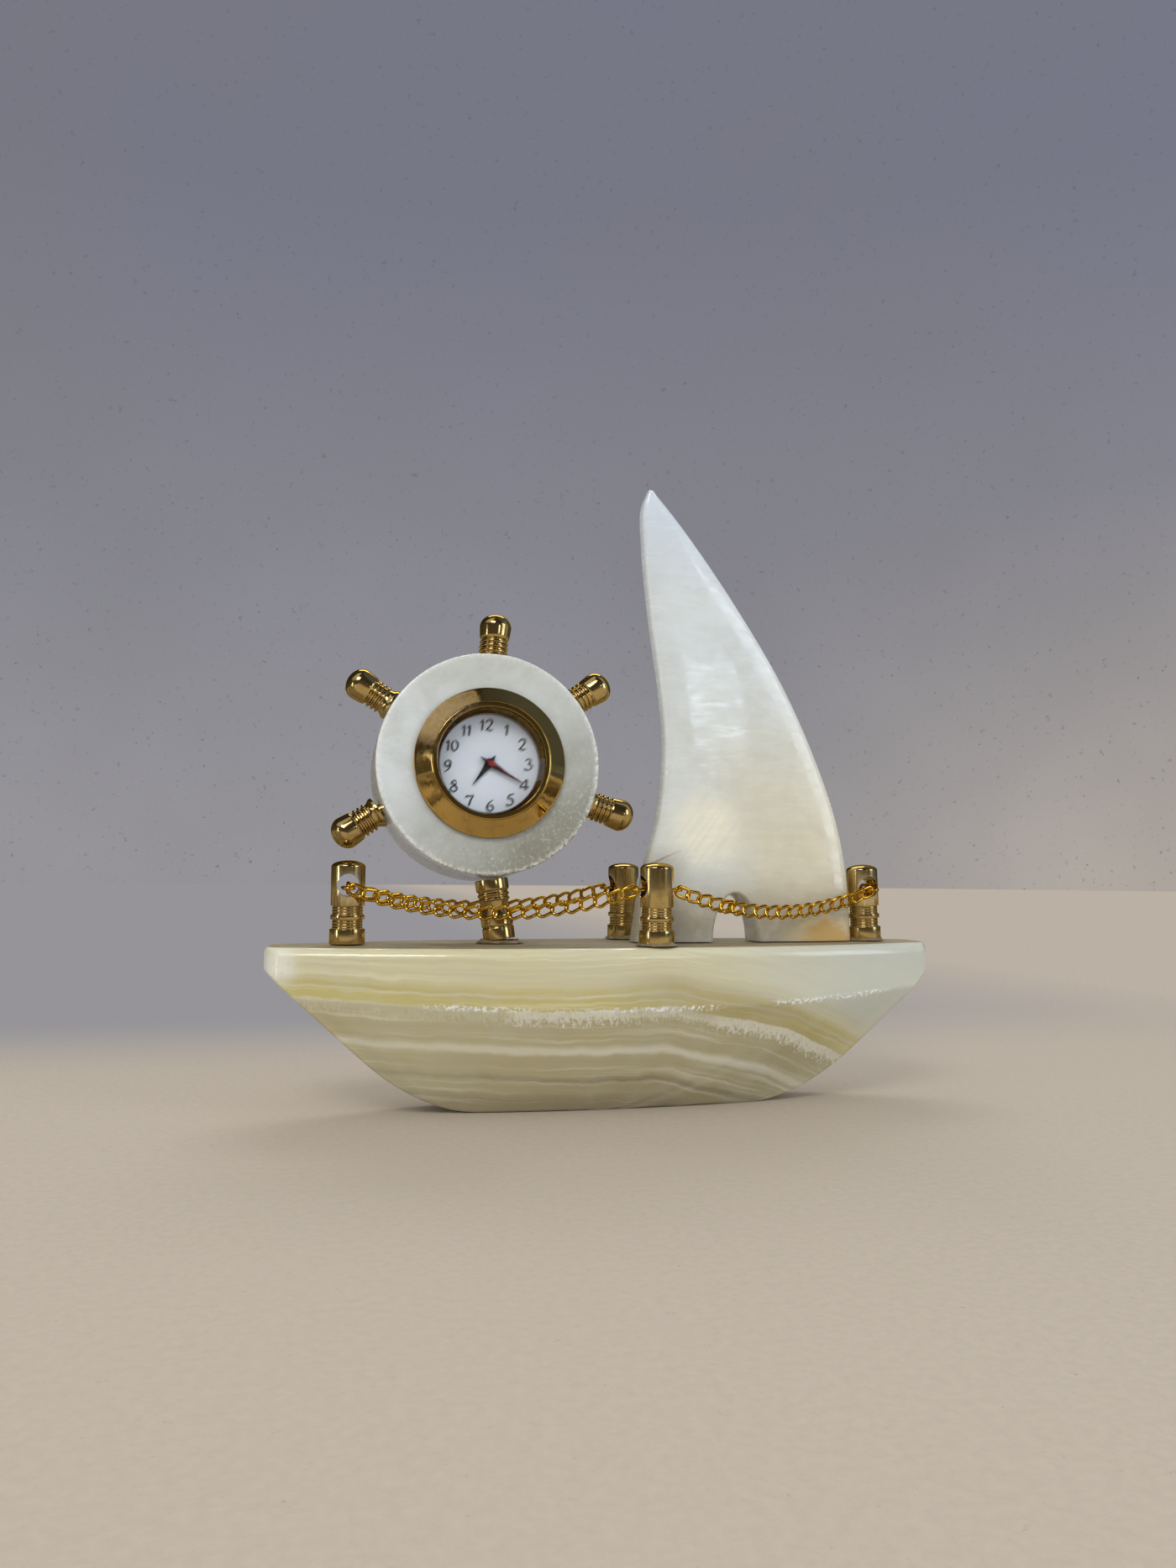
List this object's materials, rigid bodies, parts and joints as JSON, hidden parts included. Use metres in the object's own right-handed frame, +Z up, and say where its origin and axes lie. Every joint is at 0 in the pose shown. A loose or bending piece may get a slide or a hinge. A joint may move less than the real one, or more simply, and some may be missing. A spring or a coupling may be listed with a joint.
{
  "type": "desk clock",
  "caption": "Desk clock carved as a sailing boat in onyx: hull, sail, a ship's wheel of stone and brass holding a quartz clock insert, brass stanchions and gold chain.",
  "frame": {"origin": "on the floor under the middle of the hull, which is the middle of the bounding box's base", "axes": "+Z up, +X along the hull towards the sail's end, -Y out of the clock's face towards the viewer"},
  "size_m": [0.1676, 0.043, 0.1554],
  "materials": {
    "onyx_green": "polished, pale yellow green with darker bands",
    "onyx_white": "polished, milky white with faint veins",
    "brass": "turned and polished, slightly dulled",
    "chain_gold": "bright gold coloured plating",
    "gold_plate": "mirror bright gold coloured plating",
    "lens_glass": "clear",
    "dial_white": "satin white with black numerals",
    "black_lacquer": "black lacquer",
    "red_lacquer": "red lacquer",
    "black_plastic": "moulded black",
    "rubber": "matt, ribbed",
    "gear_brass": "bare",
    "white_plastic": "moulded white",
    "steel": "plain",
    "copper": "enamelled copper wire",
    "board": "green laminate",
    "adhesive": "yellowed clear glue"
  },
  "bodies": {
    "base": {"hull": "onyx_green", "sail": "onyx_white", "stanchion_left": "brass", "stanchion_right": "brass", "stanchion_front": "brass", "stanchion_back": "brass", "chain_left_eye": "chain_gold", "chain_right_eye": "chain_gold", "chain_front_eye": "chain_gold", "chain_back_eye": "chain_gold", "wheel_ring": "onyx_white", "handle_top": "brass", "handle_upper_right": "brass", "handle_lower_right": "brass", "handle_lower_left": "brass", "handle_upper_left": "brass", "pedestal_post": "brass", "glue_pedestal": "adhesive", "glue_stanchion_right": "adhesive", "glue_stanchion_front": "adhesive", "glue_stanchion_back": "adhesive"},
    "insert": {"bezel": "gold_plate", "lens": "lens_glass", "dial_collar": "gold_plate", "dial": "dial_white", "case_cup": "black_plastic", "grip_band": "rubber", "main_plate": "gear_brass", "train_bridge": "white_plastic", "movement_holder": "white_plastic", "stator": "steel", "coil": "copper", "battery": "steel", "battery_clip": "steel", "circuit_board": "board", "quartz_crystal": "steel", "clock_chip": "black_plastic"},
    "seconds": {"second_hand": "red_lacquer", "seconds_wheel": "gear_brass"},
    "minutes": {"minute_hand": "black_lacquer", "cannon_pinion": "gear_brass", "centre_wheel": "gear_brass"},
    "hours": {"hour_hand": "black_lacquer", "hour_wheel": "white_plastic"},
    "motion": {"minute_wheel": "white_plastic"},
    "third": {"third_wheel": "white_plastic"},
    "step": {"step_wheel": "white_plastic"},
    "rotor": {"rotor": "steel"},
    "setting": {"set_stem": "steel", "set_knob": "black_plastic"},
    "back_cover": {"case_back": "black_plastic"},
    "swag_front_left": {"chain_front_left": "chain_gold"},
    "swag_front_right": {"chain_front_right": "chain_gold"},
    "swag_back_left": {"chain_back_left": "chain_gold"},
    "swag_back_right": {"chain_back_right": "chain_gold"}
  },
  "joints": [
    {"name": "insert_pull", "type": "slide", "parent": "base", "child": "insert", "axis": [0, -0.9974, 0.0725], "range_m": [0, 0.03]},
    {"name": "back_cover_off", "type": "slide", "parent": "insert", "child": "back_cover", "axis": [0, 0.9974, -0.0725], "range_m": [0, 0.012]},
    {"name": "seconds_turn", "type": "hinge", "parent": "insert", "child": "seconds", "pos_m": [-0.0324, -0.0063, 0.0826], "axis": [0, -0.9974, 0.0725], "continuous": true},
    {"name": "minutes_turn", "type": "hinge", "parent": "insert", "child": "minutes", "pos_m": [-0.0324, -0.0063, 0.0826], "axis": [0, -0.9974, 0.0725], "continuous": true},
    {"name": "hours_turn", "type": "hinge", "parent": "insert", "child": "hours", "pos_m": [-0.0324, -0.0063, 0.0826], "axis": [0, -0.9974, 0.0725], "continuous": true},
    {"name": "motion_turn", "type": "hinge", "parent": "insert", "child": "motion", "pos_m": [-0.0324, -0.00652, 0.07961], "axis": [0, -0.9974, 0.0725], "continuous": true},
    {"name": "third_turn", "type": "hinge", "parent": "insert", "child": "third", "pos_m": [-0.03604, -0.00615, 0.08469], "axis": [0, -0.9974, 0.0725], "continuous": true},
    {"name": "step_turn", "type": "hinge", "parent": "insert", "child": "step", "pos_m": [-0.02911, -0.00616, 0.0845], "axis": [0, -0.9974, 0.0725], "continuous": true},
    {"name": "rotor_turn", "type": "hinge", "parent": "insert", "child": "rotor", "pos_m": [-0.02629, -0.00624, 0.08347], "axis": [0, -0.9974, 0.0725], "continuous": true},
    {"name": "setting_turn", "type": "hinge", "parent": "insert", "child": "setting", "pos_m": [-0.0324, -0.00673, 0.07662], "axis": [0, -0.9974, 0.0725], "continuous": true},
    {"name": "front_left_swing", "type": "hinge", "parent": "base", "child": "swag_front_left", "pos_m": [-0.065, -0.00475, 0.05239], "axis": [0.9878, -0.1554, 0], "range_deg": [-35, 35]},
    {"name": "front_right_swing", "type": "hinge", "parent": "base", "child": "swag_front_right", "pos_m": [0.01155, -0.0153, 0.05239], "axis": [0.9832, 0.1825, 0], "range_deg": [-35, 22]},
    {"name": "back_left_swing", "type": "hinge", "parent": "base", "child": "swag_back_left", "pos_m": [-0.065, 0.00475, 0.05239], "axis": [0.9878, 0.1554, 0], "range_deg": [-35, 35]},
    {"name": "back_right_swing", "type": "hinge", "parent": "base", "child": "swag_back_right", "pos_m": [0.01155, 0.0153, 0.05239], "axis": [0.9832, -0.1825, 0], "range_deg": [-22, 35]}
  ],
  "couplings": [
    {"joint": "minutes_turn", "follows": "seconds_turn", "ratio": 0.016667},
    {"joint": "hours_turn", "follows": "seconds_turn", "ratio": 0.0013889},
    {"joint": "motion_turn", "follows": "seconds_turn", "ratio": -0.0055556},
    {"joint": "third_turn", "follows": "seconds_turn", "ratio": -0.13333},
    {"joint": "step_turn", "follows": "seconds_turn", "ratio": -5},
    {"joint": "rotor_turn", "follows": "seconds_turn", "ratio": 30},
    {"joint": "setting_turn", "follows": "seconds_turn", "ratio": 0.016667}
  ]
}
